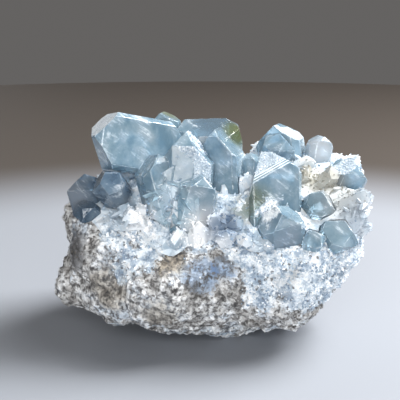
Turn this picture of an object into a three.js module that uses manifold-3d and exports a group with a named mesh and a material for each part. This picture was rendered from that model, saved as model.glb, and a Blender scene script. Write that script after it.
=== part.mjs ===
// Celestite geode fragment: a broken lump of geode wall with a crust of small crystals and large
// pale blue crystals standing on it. Millimetres, +Z up. The crystals lean towards -Y, the show side,
// and the lump rests on a small flat spot at z = 0.

import * as THREE from "three";
import { ConvexGeometry } from "three/addons/geometries/ConvexGeometry.js";
import { ImprovedNoise } from "three/addons/math/ImprovedNoise.js";
import { mergeVertices } from "three/addons/utils/BufferGeometryUtils.js";
import Module from "manifold-3d";

const wasm = await Module();
wasm.setup();

// ---- Driving dimensions -------------------------------------------------------------------------

const GAP = 0.3; // clearance where two pieces touch
const SLIVER = 0.08; // details smaller than this are smoothed away
const WALL_CENTRE = [2, 2, 34]; // point inside the lump that all of its surface can be seen from
const WALL_DETAIL = 9; // icosphere subdivision of the lump's outside
const CORE_DETAIL = 5; // and of the surface between rock and crust
const CRUST_THICKNESS = 6; // depth of the crystal crust over the wall rock
const CORE_PROUD = 5; // how far the surface between them would pass outside the bare rind
const CRUST_UNDERCUT = 2.5; // how far the crust's edge dives under the rind below the rim
const RIM_HEIGHT = 37; // height of the crust's lower edge at the middle of the front
const RIM_RISE_TO_BACK = 0.2; // the rim climbs towards the back
const RIM_FALL_TO_RIGHT = 0.07; // and drops towards the right end
const RIM_BLEND = 7; // height over which the crust thickens above the rim
const EDGE_ROUNDING = 2.6; // smoothness of the edges between the lump's broad faces
const CRUST_LUMPS = { height: 1.6, wavelength: 5, shift: 3 }; // knobbly surface of the crust
const RIM_WAVES = { height: 9, wavelength: 17, shift: 7 }; // wavering of the crust's lower edge
const CRYSTAL_TUMBLE = 1.3; // how far the small crystals lean out of line
const SMALL_HALF_LENGTH = { least: 0.35, spread: 0.3 }; // as shares of their cluster's length
const SMALL_SHAPE = { c: 0.42, o: 0.55, m: 0.85 }; // faces' distances as shares of the half length
const SMALL_SEED = 11; // picks the small crystals' places and tilts
const UNDERCUT_BLOCK = { width: 300, height: 100 }; // cuts the flat spot the lump rests on

// ---- Helpers ------------------------------------------------------------------------------------

const vec = (x, y, z) => new THREE.Vector3(x, y, z);
const unit = ([x, y, z]) => vec(x, y, z).normalize();
const perlin = new ImprovedNoise();

// A closed geometry as a manifold-3d solid.
function solidOf(geometry) {
  for (const name of Object.keys(geometry.attributes)) {
    if (name !== "position") geometry.deleteAttribute(name);
  }
  const merged = mergeVertices(geometry, 1e-4);
  const vertProperties = new Float32Array(merged.attributes.position.array);
  const triVerts = new Uint32Array(merged.index.array);
  return new wasm.Manifold(new wasm.Mesh({ numProp: 3, vertProperties, triVerts }));
}

// The biggest body of a solid as a mesh.
function meshOf(name, solid, finish) {
  const body = solid.decompose().reduce((a, b) => (a.volume() > b.volume() ? a : b));
  const { vertProperties, triVerts } = body.simplify(SLIVER).getMesh();
  const geometry = new THREE.BufferGeometry();
  geometry.setAttribute("position", new THREE.BufferAttribute(vertProperties, 3));
  geometry.setIndex(new THREE.BufferAttribute(triVerts, 1));
  geometry.computeVertexNormals();
  const mesh = new THREE.Mesh(geometry, new THREE.MeshStandardMaterial(finish));
  mesh.name = name;
  return mesh;
}

// Repeatable numbers from 0 to 1.
function seededRandom(seed) {
  let state = seed;
  return () => {
    state = (state * 1664525 + 1013904223) % 4294967296;
    return state / 4294967296;
  };
}

function noise(p, wavelength, shift = 0) {
  return perlin.noise(p.x / wavelength + shift, p.y / wavelength + shift, p.z / wavelength - shift);
}

// ---- The lump of geode wall ---------------------------------------------------------------------

// Its broad broken faces: outward normal, and a point that the face passes through.
const WALL_FACES = [
  { normal: [-1, 0, 0], through: [-54.5, 0, 45] }, // left end
  { normal: [-0.3, 0, -0.95], through: [-11, 0, 0] }, // rind under the left half
  { normal: [0.42, 0, -0.91], through: [11, 0, 0] }, // rind under the right half
  { normal: [0.83, 0, -0.56], through: [46, 0, 20] }, // rind curving up at the right
  { normal: [1, 0, -0.12], through: [57, 0, 50] }, // right end
  { normal: [0.75, 0, 0.66], through: [54, 0, 58] }, // right shoulder
  { normal: [-0.6, 0, 0.8], through: [-50, 0, 58] }, // left shoulder
  { normal: [0, -0.55, -0.83], through: [0, -8, 0] }, // rind under the front
  { normal: [0, -1, 0.12], through: [0, -39, 25] }, // broken front
  { normal: [-0.05, -0.62, 0.78], through: [0, -36, 40] }, // crystal-bearing slope
  { normal: [-0.06, -0.08, 1], through: [0, 5, 63] }, // crystal-bearing top
  { normal: [0.05, 0.55, 0.83], through: [0, 30, 61] }, // back shoulder
  { normal: [0, 1, 0.05], through: [0, 43, 35] }, // back
  { normal: [0, 0.62, -0.78], through: [0, 17, 0] }, // rind under the back
  { normal: [-0.72, -0.69, -0.1], through: [-57, -8, 22] }, // front left corner
  { normal: [-0.5, -0.5, -0.7], through: [-40, -20, 12] }, // rind under the front left
  { normal: [0.7, -0.7, -0.2], through: [44, -27, 32] }, // front right corner
  { normal: [-0.66, 0.74, 0.1], through: [-44, 26, 35] }, // back left corner
  { normal: [0.7, 0.7, 0], through: [45, 27, 40] }, // back right corner
].map(({ normal, through }) => ({ normal: unit(normal), through: vec(...through) }));

// Knobs that stand out of the broad faces: centre, radius and height.
const WALL_KNOBS = [
  { at: [-54, -8, 19], radius: 8, height: 12 }, // low point of the left end
].map(({ at, radius, height }) => ({ at: vec(...at), radius, height }));

// Lumps and pits of the broken rock, from broad to fine: height and wavelength.
const WALL_RELIEF = [
  { height: 4.5, wavelength: 31 },
  { height: 3.2, wavelength: 13 },
];

// Signed distance-like value: negative inside the lump.
function wallField(p) {
  let sum = 0;
  for (const { normal, through } of WALL_FACES) {
    const distance = normal.dot(p) - normal.dot(through);
    sum += Math.exp(distance / EDGE_ROUNDING);
  }
  let value = EDGE_ROUNDING * Math.log(sum);
  for (const { height, wavelength } of WALL_RELIEF) value += height * noise(p, wavelength, height);
  for (const { at, radius, height } of WALL_KNOBS) {
    value -= height * Math.exp(-at.distanceToSquared(p) / radius ** 2);
  }
  return value;
}

// Distance from the centre to the surface of the lump along a direction.
function wallRadius(direction) {
  const centre = vec(...WALL_CENTRE);
  let inside = 5;
  let outside = 110;
  for (let step = 0; step < 26; step += 1) {
    const middle = (inside + outside) / 2;
    const value = wallField(centre.clone().addScaledVector(direction, middle));
    if (value < 0) inside = middle;
    else outside = middle;
  }
  return inside;
}

// 0 on the bare rind, 1 where the crust is at its full thickness.
function crustShare(p) {
  const rim = RIM_HEIGHT + RIM_RISE_TO_BACK * (p.y + 38) - RIM_FALL_TO_RIGHT * p.x;
  const waves = RIM_WAVES.height * noise(p, RIM_WAVES.wavelength, RIM_WAVES.shift);
  return THREE.MathUtils.smoothstep(p.z + waves, rim, rim + RIM_BLEND);
}

// A lump whose radius in each direction is the wall's, changed by offset(point on the wall, share).
function starSolid(detail, offset) {
  const sphere = new THREE.IcosahedronGeometry(1, detail);
  const { position } = sphere.attributes;
  const centre = vec(...WALL_CENTRE);
  const known = new Map();
  for (let i = 0; i < position.count; i += 1) {
    const direction = new THREE.Vector3().fromBufferAttribute(position, i).normalize();
    const key = direction.toArray().map((value) => value.toFixed(5)).join();
    if (!known.has(key)) {
      const radius = wallRadius(direction);
      const onWall = centre.clone().addScaledVector(direction, radius);
      const moved = radius + offset(onWall, crustShare(onWall));
      known.set(key, centre.clone().addScaledVector(direction, moved));
    }
    position.setXYZ(i, ...known.get(key).toArray());
  }
  return solidOf(sphere);
}

// ---- Crystals -----------------------------------------------------------------------------------

const CELL = { a: 8.359, b: 5.352, c: 6.866 }; // celestite's unit cell in ångström
const SIGNS = [1, -1];

// The forms of celestite: each face's Miller indices, in the order in which sizes are listed.
const FORMS = {
  c: SIGNS.map((s) => [0, 0, s]), // basal pinacoid
  b: SIGNS.map((s) => [0, s, 0]), // side pinacoid
  o: SIGNS.flatMap((s) => SIGNS.map((t) => [0, s, t])), // {011} dome, along the length
  m: SIGNS.flatMap((s) => SIGNS.map((t) => [2 * s, t, 0])), // {210} prism, the wedge at each end
  d: SIGNS.flatMap((s) => SIGNS.map((t) => [s, 0, t])), // {101} dome, the other faces of each end
};

// Corners of the convex body inside all the planes { normal, distance }.
function cornersWithin(planes) {
  const corners = [];
  const tolerance = 1e-6;
  for (let i = 0; i < planes.length; i += 1) {
    for (let j = i + 1; j < planes.length; j += 1) {
      for (let k = j + 1; k < planes.length; k += 1) {
        const [p, q, r] = [planes[i], planes[j], planes[k]];
        const cross = q.normal.clone().cross(r.normal);
        const determinant = p.normal.dot(cross);
        if (Math.abs(determinant) < tolerance) continue;
        const corner = cross.multiplyScalar(p.distance)
          .add(r.normal.clone().cross(p.normal).multiplyScalar(q.distance))
          .add(p.normal.clone().cross(q.normal).multiplyScalar(r.distance))
          .divideScalar(determinant);
        const within = planes.every(({ normal, distance }) => normal.dot(corner) <= distance + tolerance);
        if (within) corners.push(corner);
      }
    }
  }
  return corners;
}

// One crystal about its centre. a points along its length, c across it, and size gives the distance
// of each form's faces from the centre: one number, or one for each face in the order of FORMS.
// Each of its broken corners is a plane with an outward normal and a point that it passes through.
function crystalSolid({ at, a, c, size, broken = [] }, grow = 0) {
  const aAxis = unit(a);
  const bAxis = unit(c).cross(aAxis).normalize();
  const cAxis = aAxis.clone().cross(bAxis);
  const planes = Object.entries(size).flatMap(([form, distances]) =>
    FORMS[form].map(([h, k, l], index) => {
      const normal = new THREE.Vector3()
        .addScaledVector(aAxis, h / CELL.a)
        .addScaledVector(bAxis, k / CELL.b)
        .addScaledVector(cAxis, l / CELL.c)
        .normalize();
      const distance = grow + (Array.isArray(distances) ? distances[index] : distances);
      return { normal, distance };
    }));
  for (const { normal, through } of broken) {
    const outward = unit(normal);
    planes.push({ normal: outward, distance: grow + outward.dot(vec(...through).sub(vec(...at))) });
  }
  const hull = new ConvexGeometry(cornersWithin(planes));
  return solidOf(hull.translate(...at));
}

// The large crystals. Entries with the same node have grown into each other and are one solid.
const LARGE_CRYSTALS = [
  { node: "centre_crystals", at: [-27.5, -5, 73], a: [-0.88, -0.4, 0.23], c: [-0.4, -0.85, 0.3],
    size: { c: 7.5, b: 10.5, o: 11.5, m: [15.2, 15.7, 14, 14], d: 16.6 },
    broken: [{ normal: [-0.97, -0.06, -0.23], through: [-43.1, -10, 74] }] },
  { node: "centre_crystals", at: [-17.5, 8, 75], a: [-0.2, 0.1, 1], c: [-0.2, -0.95, 0.1],
    size: { c: 5, b: 6, o: 6, m: 7, d: 8 } },
  { node: "dark_left_crystal", at: [-36.5, -17, 59.2], a: [-0.35, -0.6, 0.65], c: [0.3, 0.5, 0.8],
    size: { c: 5, b: 5.5, o: 5.8, m: 6.4, d: 7 } },
  { node: "left_edge_crystals", at: [-46.5, -6, 51], a: [-0.2, -0.15, 0.9], c: [-0.4, -0.9, 0],
    size: { c: 5.5, b: 6, o: 6.5, m: 9, d: 9.5 } },
  { node: "left_edge_crystals", at: [-44, -13, 47], a: [-0.5, -0.5, 0.7], c: [0.4, -0.9, 0],
    size: { c: 4, b: 4.5, o: 5, m: 7, d: 7.5 } },
  { node: "centre_crystals", at: [4.5, -6, 62.5], a: [-0.06, 0.05, 1], c: [0.95, -0.3, 0],
    size: { c: 6.3, b: 6.5, o: 8, m: 16, d: [9.6, 12.5, 9, 10] } },
  { node: "centre_crystals", at: [-1, 5, 69], a: [-0.03, 0.1, 1], c: [1, 0, 0],
    size: { c: 12.3, b: 8, o: 11, m: 10, d: 15.2 },
    broken: [
      { normal: [0.52, 0, 0.85], through: [7.4, 3, 80.3] },
      { normal: [0.96, 0, 0.28], through: [11, 3, 74.5] },
    ] },
  { node: "centre_crystals", at: [-9.7, -14, 65.2], a: [0.03, 0.12, 0.99], c: [1, -0.15, 0],
    size: { c: 9.6, b: 8.5, o: 9.2, m: 13, d: [9.4, 9.4, 10, 10] } },
  { node: "centre_crystals", at: [-18, -17, 58.5], a: [-0.25, 0.1, 1], c: [0.5, -0.85, 0.1],
    size: { c: 6, b: 8, o: 8.3, m: 11, d: 11.5 } },
  { node: "centre_crystals", at: [-7, -22, 55], a: [0.25, 0, 1], c: [0.3, -0.9, 0.2],
    size: { c: 6, b: 7, o: 7.5, m: 9, d: 10 } },
  { node: "centre_crystals", at: [-13.5, -16, 57], a: [0.1, 0.1, 1], c: [0.1, -1, 0],
    size: { c: 6.5, b: 9, o: 9.5, m: 10.5, d: 12 } },
  { node: "right_crystals", at: [20.5, -16, 55.5], a: [-0.03, 0.12, 0.99], c: [0.94, -0.34, 0.07],
    size: {
      c: [11.5, 4.8], b: [13, 6.6], o: [8.2, 11, 9, 10], m: [13.2, 14, 14, 14], d: [17, 15, 15, 15],
    },
    broken: [
      { normal: [-0.956, 0.07, 0.283], through: [11.8, -26, 57] },
      { normal: [0.57, 0.3, 0.77], through: [24.5, -18, 71.8] },
    ] },
  { node: "right_crystals", at: [24.5, -27.5, 45], a: [-0.15, -0.35, 0.9], c: [0.3, -0.8, -0.4],
    size: { c: 6, b: 7.8, o: 7.8, m: 9, d: 9.5 } },
  { node: "centre_crystals", at: [13.8, -3.5, 58.5], a: [0.1, 0.2, 0.97], c: [-0.5, -0.8, 0],
    size: { c: 4, b: 5, o: 5, m: 9, d: 9 } },
  { node: "right_crystals", at: [37.5, -18, 51.5], a: [0.35, -0.6, 0.7], c: [-0.3, 0.3, 0.9],
    size: { c: 5, b: 5.5, o: 6, m: 6.5, d: 7.5 } },
  { node: "right_crystals", at: [42.5, -26, 41.5], a: [0.5, -0.4, 0.75], c: [-0.3, 0.5, 0.8],
    size: { c: 6, b: 7, o: 7.5, m: 8, d: 8.5 } },
  { node: "right_crystals", at: [35, -30, 41], a: [0.1, -0.4, 0.9], c: [0.8, -0.5, 0.2],
    size: { c: 3.5, b: 4.5, o: 5, m: 6, d: 6 } },
  { node: "ridge_crystals", at: [27, 14, 68], a: [-0.2, 0.1, 0.97], c: [-0.4, -0.9, 0.1],
    size: { c: 6, b: 9, o: 9, m: 8, d: 9 } },
  { node: "ridge_crystals", at: [24, 6, 67], a: [0.3, -0.3, 0.9], c: [0.5, -0.8, -0.3],
    size: { c: 5, b: 6, o: 6, m: 7, d: 7.5 } },
  { node: "ridge_end_crystal", at: [40.8, 8, 67], a: [0.15, 0.1, 0.97], c: [0.3, -0.9, 0],
    size: { c: 4, b: 5, o: 5, m: 6, d: 7 } },
  { node: "end_crystal", at: [50, -3, 59], a: [0.3, -0.2, 0.9], c: [0.3, -0.95, 0.1],
    size: { c: 5.5, b: 7, o: 7, m: 7, d: 8 } },
  { node: "back_crystals", at: [-10, 27, 64], a: [0.1, 0.5, 0.9], c: [0.3, -0.9, 0.5],
    size: { c: 6, b: 8, o: 8, m: 10, d: 11 } },
  { node: "back_crystals", at: [6, 26, 65], a: [-0.3, 0.3, 0.9], c: [0.9, 0.2, 0.3],
    size: { c: 5, b: 6, o: 6, m: 8, d: 9 } },
  { node: "back_edge_crystal", at: [-34, 20, 64], a: [-0.5, 0.4, 0.8], c: [0.2, -0.9, 0.5],
    size: { c: 5, b: 7, o: 7, m: 8, d: 9 } },
];

// Clusters of small crystals that have grown in the crust: middle, spread, number, length, and where
// they differ from the outward direction and the surface, which way they point and how proud they stand.
const CLUSTERS = [
  { at: [-12, -32, 50], spread: 8, count: 5, length: 12, along: [0, -0.3, 1], lift: 1 }, // front
  { at: [-26, -24, 54], spread: 5, count: 3, length: 11, along: [-0.3, -0.2, 1], lift: 1 },
  { at: [3, -30, 49], spread: 6, count: 4, length: 10 },
  { at: [12, -34, 44], spread: 6, count: 3, length: 9 },
  { at: [-50, -8, 42], spread: 6, count: 3, length: 9 }, // left end
  { at: [-38, 6, 64], spread: 7, count: 3, length: 10 },
  { at: [13, -14, 64], spread: 4, count: 3, length: 9 }, // beside the right crystal
  { at: [33, -4, 62], spread: 8, count: 4, length: 11 },
  { at: [46, -14, 50], spread: 6, count: 4, length: 9, lift: -1 }, // right end
  { at: [44, 12, 56], spread: 6, count: 3, length: 10 },
  { at: [42, 22, 54], spread: 7, count: 3, length: 9, lift: -1 },
  { at: [24, 30, 64], spread: 11, count: 4, length: 12 }, // back
  { at: [-26, 32, 62], spread: 11, count: 3, length: 12 },
];

// ---- Assembly -----------------------------------------------------------------------------------

const ROCK_FINISH = { color: 0x9a9896, roughness: 0.9, metalness: 0 };
const CRUST_FINISH = { color: 0xdde3e8, roughness: 0.7, metalness: 0 };
const CRYSTAL_FINISH = { color: 0x8fabbf, roughness: 0.15, metalness: 0 };
const DARK_CRYSTAL_FINISH = { color: 0x637d94, roughness: 0.15, metalness: 0 };
const DARK_CRYSTALS = ["dark_left_crystal", "left_edge_crystals"];

// Small crystals of a cluster, each about where a line from the lump's centre leaves the lump.
function clusterSolids({ at, spread, count, length, along, lift = 0 }, random) {
  const centre = vec(...WALL_CENTRE);
  const scatter = (range) => vec(random() - 0.5, random() - 0.5, random() - 0.5).multiplyScalar(range);
  return Array.from({ length: count }, () => {
    const outward = vec(...at).add(scatter(2 * spread)).sub(centre).normalize();
    const half = length * (SMALL_HALF_LENGTH.least + SMALL_HALF_LENGTH.spread * random());
    const place = centre.clone().addScaledVector(outward, wallRadius(outward) + lift);
    const a = (along ? unit(along) : outward.clone()).add(scatter(CRYSTAL_TUMBLE));
    const c = scatter(2);
    const size = {
      c: SMALL_SHAPE.c * half,
      o: SMALL_SHAPE.o * half,
      m: SMALL_SHAPE.m * half,
    };
    return crystalSolid({ at: place.toArray(), a: a.toArray(), c: c.toArray(), size });
  });
}

const standing = new THREE.BoxGeometry(
  UNDERCUT_BLOCK.width,
  UNDERCUT_BLOCK.width,
  UNDERCUT_BLOCK.height,
);
standing.translate(0, 0, -UNDERCUT_BLOCK.height / 2);
const below = solidOf(standing);

// The surface that parts the crust from the rock: deep under the crust, outside the bare rind.
function coreSolid(grow) {
  return starSolid(CORE_DETAIL, (p, share) => {
    return grow + THREE.MathUtils.lerp(CORE_PROUD, -CRUST_THICKNESS, share);
  });
}
const wallRock = starSolid(WALL_DETAIL, () => 0).intersect(coreSolid(0)).subtract(below);
const covered = coreSolid(GAP).add(below); // where no crust and no crystal reaches

// Small crystals grow out of the crust, and are one piece with it.
let crust = starSolid(WALL_DETAIL, (p, share) => {
  const lump = CRUST_LUMPS.height * noise(p, CRUST_LUMPS.wavelength, CRUST_LUMPS.shift);
  return lump - CRUST_UNDERCUT * (1 - share);
});
const random = seededRandom(SMALL_SEED);
for (const cluster of CLUSTERS) {
  for (const solid of clusterSolids(cluster, random)) crust = crust.add(solid);
}
crust = crust.subtract(covered);

// The large crystals stand in sockets in the crust, with their roots on the rock.
const crystals = new Map();
for (const entry of LARGE_CRYSTALS) {
  const solid = crystalSolid(entry);
  const joined = crystals.get(entry.node);
  crystals.set(entry.node, joined ? joined.add(solid) : solid);
  crust = crust.subtract(crystalSolid(entry, GAP));
}

const part = new THREE.Group();
part.add(meshOf("wall_rock", wallRock, ROCK_FINISH));
part.add(meshOf("crystal_crust", crust, CRUST_FINISH));
for (const [name, solid] of crystals) {
  const finish = DARK_CRYSTALS.includes(name) ? DARK_CRYSTAL_FINISH : CRYSTAL_FINISH;
  part.add(meshOf(name, solid.subtract(covered), finish));
}

// The origin is under the middle of the whole piece, on the surface it stands on.
const box = new THREE.Box3().setFromObject(part);
const middle = box.getCenter(new THREE.Vector3());
part.position.set(-middle.x, -middle.y, -box.min.z);

export default part;
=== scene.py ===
"""Celestite geode fragment: a broken lump of geode wall, the crust of small crystals on its hollow
side, and the large pale blue crystals that stand on it. Metres, +Z up, the crystals lean to -Y."""
import math
import bmesh
import bpy
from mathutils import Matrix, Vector, noise
from mathutils.bvhtree import BVHTree


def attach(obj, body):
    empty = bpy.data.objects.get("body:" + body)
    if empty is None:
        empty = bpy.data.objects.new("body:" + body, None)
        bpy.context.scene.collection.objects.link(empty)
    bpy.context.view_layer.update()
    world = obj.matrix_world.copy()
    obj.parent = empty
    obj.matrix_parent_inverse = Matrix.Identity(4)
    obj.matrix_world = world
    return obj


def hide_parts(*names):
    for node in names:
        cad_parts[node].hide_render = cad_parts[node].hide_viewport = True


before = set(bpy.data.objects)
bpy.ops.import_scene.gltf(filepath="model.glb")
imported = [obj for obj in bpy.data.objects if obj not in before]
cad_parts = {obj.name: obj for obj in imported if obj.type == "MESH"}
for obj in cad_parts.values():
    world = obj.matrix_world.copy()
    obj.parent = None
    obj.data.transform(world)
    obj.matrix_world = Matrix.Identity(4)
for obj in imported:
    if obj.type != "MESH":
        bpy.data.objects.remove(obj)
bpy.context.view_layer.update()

# ---- Sizes --------------------------------------------------------------------------------------

MM = 0.001
PER_MM2 = 1e6  # one on each square millimetre makes this many on a square metre
WELD = 0.002 * MM  # corners closer than this are one corner
TOUCH = 0.45 * MM  # surfaces closer than this touch, so no eye gets between them
SHARP_ANGLE = math.radians(12)  # faces that meet at more than this have a sharp edge between them
NO_AREA = 1e-12  # a triangle with less than half this area faces no way

ROCK_EDGE = 0.75 * MM  # longest triangle edge of the rock's bare surface
ROCK_FIRST_EDGE = 2.2 * ROCK_EDGE  # and before that, while its broken faces are rounded
ROCK_ROUNDINGS = 3
ROCK_FOOT = 0.3 * MM  # below this height the rock stays as flat as it is
CRUST_EDGE = 0.7 * MM  # longest triangle edge of the crust
CRYSTAL_EDGE = 0.9 * MM  # and of the large crystals' faces

NOISE_SEED = 2
noise.seed_set(NOISE_SEED)  # or each run would have lumps of its own

# Relief of the broken rock and of the sugary crust, from broad to fine: width and height of a lump.
ROCK_RELIEF = [(9.0 * MM, 1.6 * MM), (3.6 * MM, 1.0 * MM), (1.5 * MM, 0.5 * MM)]
CRUST_RELIEF = [(4.2 * MM, 0.8 * MM), (1.8 * MM, 0.55 * MM), (0.9 * MM, 0.25 * MM)]
LUMP_SKEW = 0.45  # how far the lumps are pushed out of shape, as a share of their width
LUMP_FALL = 1.7  # how steeply they fall to the creases between them
BOLD_SWING = 0.9  # how much bolder and fainter they get from place to place
BOLD_WIDTH = 3  # over how many lumps that changes
CREASE_SHADE_DEPTH = 1.3 * MM  # hollows deeper than this get the painted shade at its darkest
EDGE_WEAR = 0.10 * MM  # how far the crystals' edges are worn down
EDGE_CHIPS = 0.30 * MM  # and how much deeper the chips in them are
CHIP_LENGTH = 2.2 * MM

# Flat facets of the crust are faces of small crystals: the most they bend, their least area, and the
# shares of the crust's grains on them and of its relief along their rims.
FACET_BEND = math.radians(0.6)
FACET_AREA = 3 * MM * MM
FACET_GRAINS = 0.2
FACET_RIM_RELIEF = 0.4

# Height above which the rock is white with sugar, from left to right: x and z in millimetres. It wavers
# by this much over this width, and fades in over this height.
SNOW_LINE = [(-70, 60), (-43, 54), (-35, 38), (-14, 41), (2, 42), (13, 27), (26, 19), (70, 17)]
SNOW_WAVERS = 10.0
SNOW_WIDTH = 10 * MM
SNOW_FADE = 14.0
SNOW_BELOW = 17.0  # from this height down to the ground the rock whitens again
SNOW_BELOW_SHARE = 0.5  # but only by this share
BARE_BACK = 44.0  # at the back the white starts no lower than this
BACK_BEGINS, BACK_WHOLE = -18.0, 10.0  # y at which the back begins, and from which all of it is back
SUGAR_FROM = 19.0 * MM  # grains stand on the rock from this height
ROCK_WARP = 1.8 * MM  # how far the rock's grains are pushed out of shape

CLEAVAGE_TILT = (0.0, 0.64, 0.0)  # the cleavage cracks run down to the right
CRACK_SIZE = (12.0 * MM, 2.5 * MM, 1.2 * MM)  # along the cracks, and across them
FEW_LARGE = 2.2  # the higher this is, the fewer of the small crystals are large

# The large crystals, and the slot that each takes its finish from.
CRYSTAL_NODES = {
    "centre_crystals": "celestite",
    "right_crystals": "celestite",
    "dark_left_crystal": "dark_celestite",
    "left_edge_crystals": "dark_celestite",
    "ridge_crystals": "celestite",
    "ridge_end_crystal": "celestite",
    "end_crystal": "celestite",
    "back_crystals": "celestite",
    "back_edge_crystal": "celestite",
}

# Faces of the large crystals that are frosted with sugar: middle, reach, the way they face, how much the
# frosting's outline wavers, and how thick it is at most: white from 1.5. Millimetres.
FROSTED = [
    {"at": (19.7, -23.5, 68.2), "reach": 13.0, "facing": (-0.24, -0.48, 0.85), "ragged": 2.0, "share": 1.0},
    {"at": (21.0, -28.9, 53.8), "reach": 5.0, "facing": (0.3, -0.94, 0.12), "ragged": 3.0, "share": 1.6},
    {"at": (18.5, -31.0, 55.0), "reach": 4.5, "facing": (-0.7, -0.42, 0.57), "ragged": 4.0, "share": 1.4},
    {"at": (-7.0, -24.5, 78.0), "reach": 6.5, "facing": (-0.15, -0.98, 0.12), "ragged": 4.0, "share": 0.9},
    {"at": (-3.5, -22.5, 71.0), "reach": 10.0, "facing": (0.49, -0.87, 0.09), "ragged": 5.0, "share": 0.8},
    {"at": (-7.0, -14.2, 76.5), "reach": 7.0, "facing": (0.78, -0.04, 0.62), "ragged": 2.0, "share": 0.9},
    {"at": (31.0, 6.0, 75.0), "reach": 9.0, "facing": (0.4, -0.15, 0.91), "ragged": 3.0, "share": 1.0},
    {"at": (48.4, -10.4, 64.6), "reach": 7.0, "facing": (-0.33, -0.33, 0.89), "ragged": 3.0, "share": 1.0},
]
SAME_FACE = 0.97  # cosine of the most that a frosted face may turn from the way given
FROST_FADE = 1.5  # half the width of the frosting's margin
FROST_WIDTH = 3 * MM  # of the waves in the frosting's outline

# Growth steps along the lower edge of the right crystal's frosted face: the way up the face, where they
# start and how high they go that way, the width of one, the middle of the edge and their reach from it.
STEPS_UP = Vector((-0.472, 0.818, 0.328))
STEPS_FROM = -8.4 * MM
STEPS_HIGH = 2.9 * MM
STEP_WIDTH = 1.15 * MM
STEPS_MIDDLE = Vector((17.9, -26.4, 66.0)) * MM
STEPS_REACH = 12 * MM

# Where the centre crystals are shattered into flakes: middle and reach. Millimetres.
SHATTERED = ((-14.0, -25.0, 54.0), 12.0)
SHATTERED_WHOLE = 0.6  # share of the reach up to which they all are

# ---- Colours ------------------------------------------------------------------------------------

# Patches of colour: middle and reach in millimetres, and the colour. A later one lies over an earlier.
PATCH_WHOLE = 0.25  # share of the reach up to which the colour is at its fullest

# Inside the large crystals, and the small ones of the crust.
CRYSTAL_TINTS_AND_SHADE = [
    ((0.0, 1.0, 80.0), 15.0, "#7a909f"),  # painted shade on the top of the tall crystal, which faces the lamps
    ((-44.0, -9.0, 75.0), 9.0, "#cbdfe0"),  # pale left end of the large tabular crystal
    ((-32.0, -22.5, 53.0), 9.0, "#a3b4c2"),  # grey-blue small crystals under it
    ((-36.5, -17.0, 59.5), 10.0, "#4f6479"),  # dark crystal at the left
    ((-50.0, -14.0, 56.0), 9.0, "#8b96a2"),  # grey crystals at the left edge
    ((8.5, -1.5, 77.0), 8.0, "#7c855c"),  # green stain at the tall crystal's right shoulder
    ((12.8, -27.0, 57.0), 10.0, "#8b9682"),  # greenish left edge of the right crystal
    ((-18.0, 8.0, 82.0), 7.0, "#9aa78f"),  # greenish crystal behind the tabular one
    ((-17.0, -21.0, 57.0), 11.0, "#d3e4f0"),  # shattered milky crystals
    ((24.0, -33.0, 45.0), 10.5, "#a6b9c8"),  # dark crystal at the foot of the right one
    ((36.0, -11.0, 64.0), 9.0, "#b0ada0"),  # tan and grey small crystals down the right end
    ((41.0, -13.0, 60.5), 11.0, "#b3b1a7"),
    ((46.0, -21.0, 56.0), 12.0, "#cdd1d2"),
    ((51.0, -27.0, 50.0), 10.0, "#b6c1cc"),
    ((37.0, -22.0, 51.5), 8.0, "#5f747c"),  # the two dark crystals at the far right
    ((41.0, -29.0, 42.0), 9.5, "#697c84"),
    ((23.0, -1.0, 67.0), 6.0, "#7c98b0"),  # blue foot of the ridge crystals
    ((40.4, 3.0, 70.0), 9.0, "#eef3f7"),  # white stub at the end of the ridge
    ((-2.0, -32.0, 47.0), 13.0, "#fbfcfd"),  # snowy small crystals at the middle of the rim
    ((-26.0, -27.0, 50.0), 8.0, "#f4f7fa"),  # and at its left
    ((3.0, -30.5, 47.5), 9.5, "#889bb1"),  # shaded ones between the centre and the right crystal
]

# On the rock, whose own colour they multiply.
ROCK_PATCHES = [
    ((-15.0, -34.0, 37.0), 13.0, "#d2c6b4"),  # tan clay
    ((-36.0, -31.0, 27.0), 17.0, "#d6d0c7"),
    ((-18.0, -36.0, 22.0), 15.0, "#ddd9d2"),
    ((-52.0, -20.0, 38.0), 17.0, "#818286"),  # dark marl at the left end
    ((-4.0, -37.0, 33.5), 13.0, "#aabbd0"),  # massive blue celestite
    ((4.0, -38.0, 37.0), 9.0, "#aebfd4"),
    ((-28.0, -34.0, 36.0), 11.0, "#c3ced9"),  # its paler traces to the left and right
    ((22.0, -39.0, 33.0), 12.0, "#bccada"),
    ((50.0, -10.0, 40.0), 12.0, "#c9bda6"),  # tan clay at the right end
]

# On the crust and its grains.
CRUST_PATCHES = [
    ((-4.0, -31.0, 47.0), 22.0, "#ffffff"),  # snow along the rim
    ((-28.0, -27.0, 48.0), 15.0, "#ffffff"),
    ((-34.0, -22.0, 52.5), 13.0, "#a3b3c1"),  # blue and grey at the feet of the large crystals
    ((-13.0, -24.0, 54.0), 12.0, "#a3bfd6"),
    ((4.5, -28.0, 49.0), 9.0, "#7d95ad"),
    ((44.0, -16.0, 57.0), 28.0, "#bcc4ca"),  # grey and tan down the right end
    ((35.0, -10.0, 64.0), 14.0, "#b5b1a4"),
    ((39.0, -12.0, 61.0), 14.0, "#b0ada1"),
    ((43.0, -17.0, 57.5), 14.0, "#b3b0a5"),
    ((48.0, -25.0, 54.0), 15.0, "#afafaa"),
    ((51.5, -28.0, 48.0), 15.0, "#a9b4bf"),
    ((-48.0, -16.0, 43.0), 15.0, "#5d5957"),  # darker at the left end
    ((9.0, -33.0, 45.0), 8.0, "#7f98b1"),  # blue foot of the right crystal
]

# On the crust and its grains, whose own colour they multiply.
CRUST_SHADES = [
    ((44.0, -14.0, 57.0), 27.0, "#dadcdd"),  # right end
    ((2.5, -30.5, 47.5), 10.5, "#b6c2d0"),  # painted shade between the centre and the right crystal
]

# ---- Meshes -------------------------------------------------------------------------------------


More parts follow.
